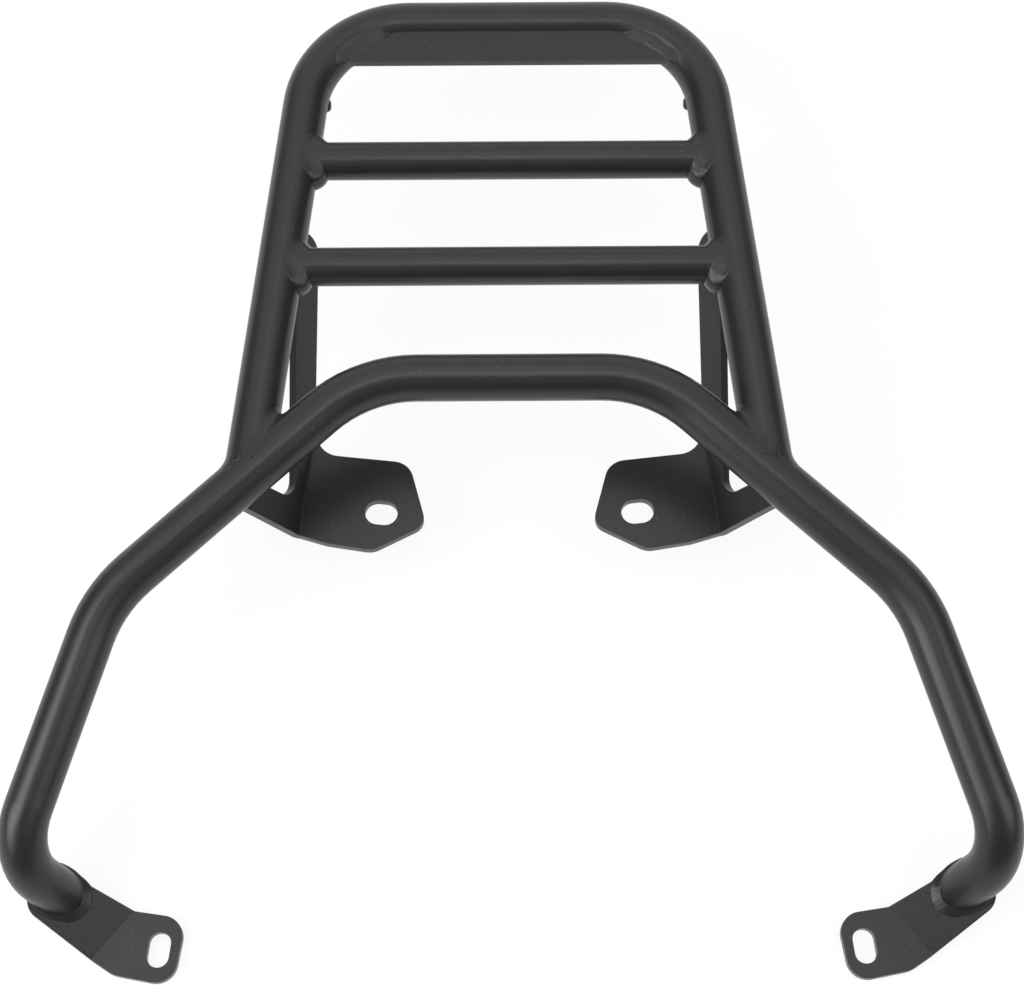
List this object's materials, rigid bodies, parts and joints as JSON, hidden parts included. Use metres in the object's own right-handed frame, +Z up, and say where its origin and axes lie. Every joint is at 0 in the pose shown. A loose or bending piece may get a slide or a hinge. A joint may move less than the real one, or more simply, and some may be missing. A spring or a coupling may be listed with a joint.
{
  "type": "scooter rear rack",
  "caption": "Welded black tube rack: a tapered deck with crossbars and a tail plate, carried by a wide bent hoop on folded slotted brackets and feet.",
  "frame": {"origin": "midway between the two rear slots, on the underside of the rear mounting tabs", "axes": "+X across the rack to its right seen from above with the deck away, +Y to the rear, +Z up"},
  "size_m": [0.3972, 0.4085, 0.0855],
  "materials": {
    "black_paint": "satin black powder coat"
  },
  "bodies": {
    "root": {"carrier_hoop": "black_paint", "rear_loop": "black_paint", "rear_crossbar": "black_paint", "front_crossbar": "black_paint", "tail_plate": "black_paint", "left_side_bracket": "black_paint", "right_side_bracket": "black_paint", "left_foot_plate": "black_paint", "right_foot_plate": "black_paint", "left_strap_peg": "black_paint", "right_strap_peg": "black_paint"}
  },
  "joints": []
}
